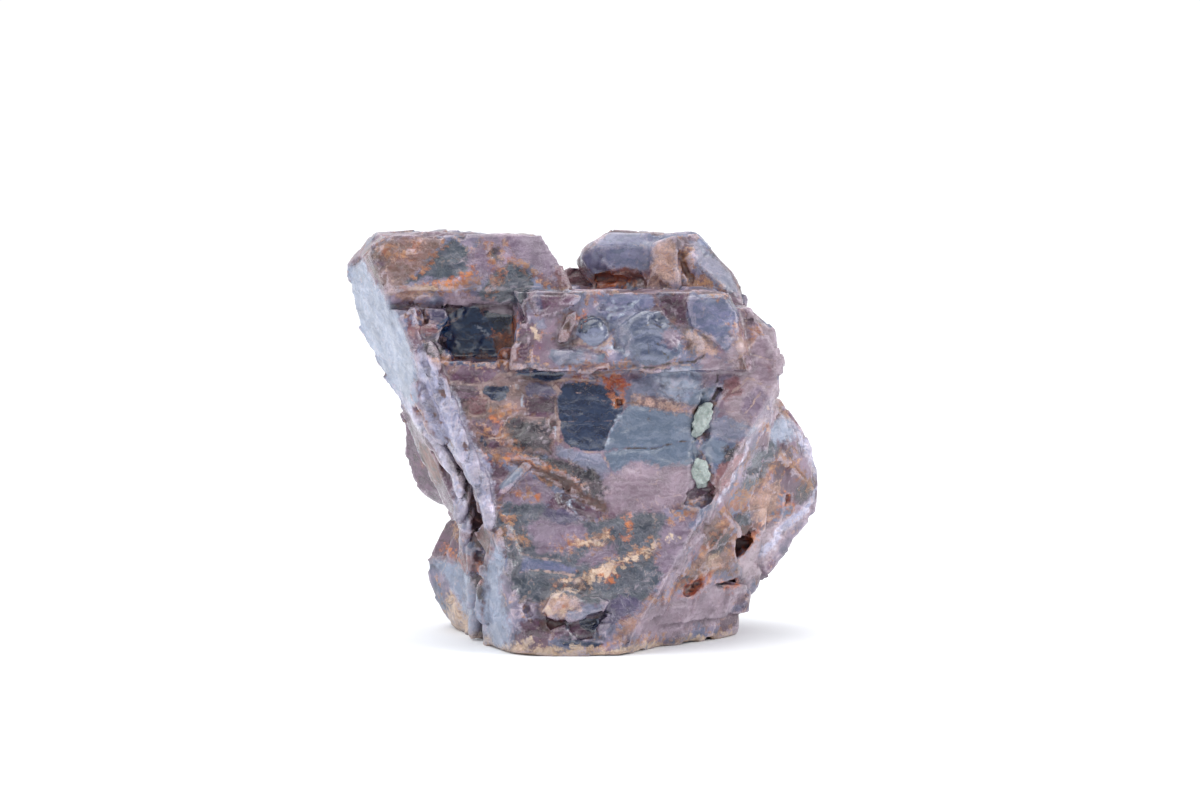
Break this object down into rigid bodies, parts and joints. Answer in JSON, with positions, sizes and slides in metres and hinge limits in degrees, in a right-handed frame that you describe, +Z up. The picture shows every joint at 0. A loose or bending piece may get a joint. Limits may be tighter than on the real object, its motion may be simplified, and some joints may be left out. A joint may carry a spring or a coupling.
{
  "type": "spinel crystal",
  "caption": "Natural cluster of parallel-grown octahedral crystals on a flat broken base, with small pale grains held in a front fissure.",
  "frame": {"origin": "under the middle of the specimen's box, on the surface it stands on", "axes": "+Z up, -Y out of the large front face, +X to the right seen from the front"},
  "size_m": [0.05, 0.0366, 0.0422],
  "materials": {
    "spinel": "vitreous to satin natural crystal faces with iron-oxide stain",
    "green_grain": "waxy pale green mineral"
  },
  "bodies": {
    "root": {"spinel_crystal": "spinel", "green_grain_upper": "green_grain", "green_grain_lower": "green_grain"}
  },
  "joints": []
}
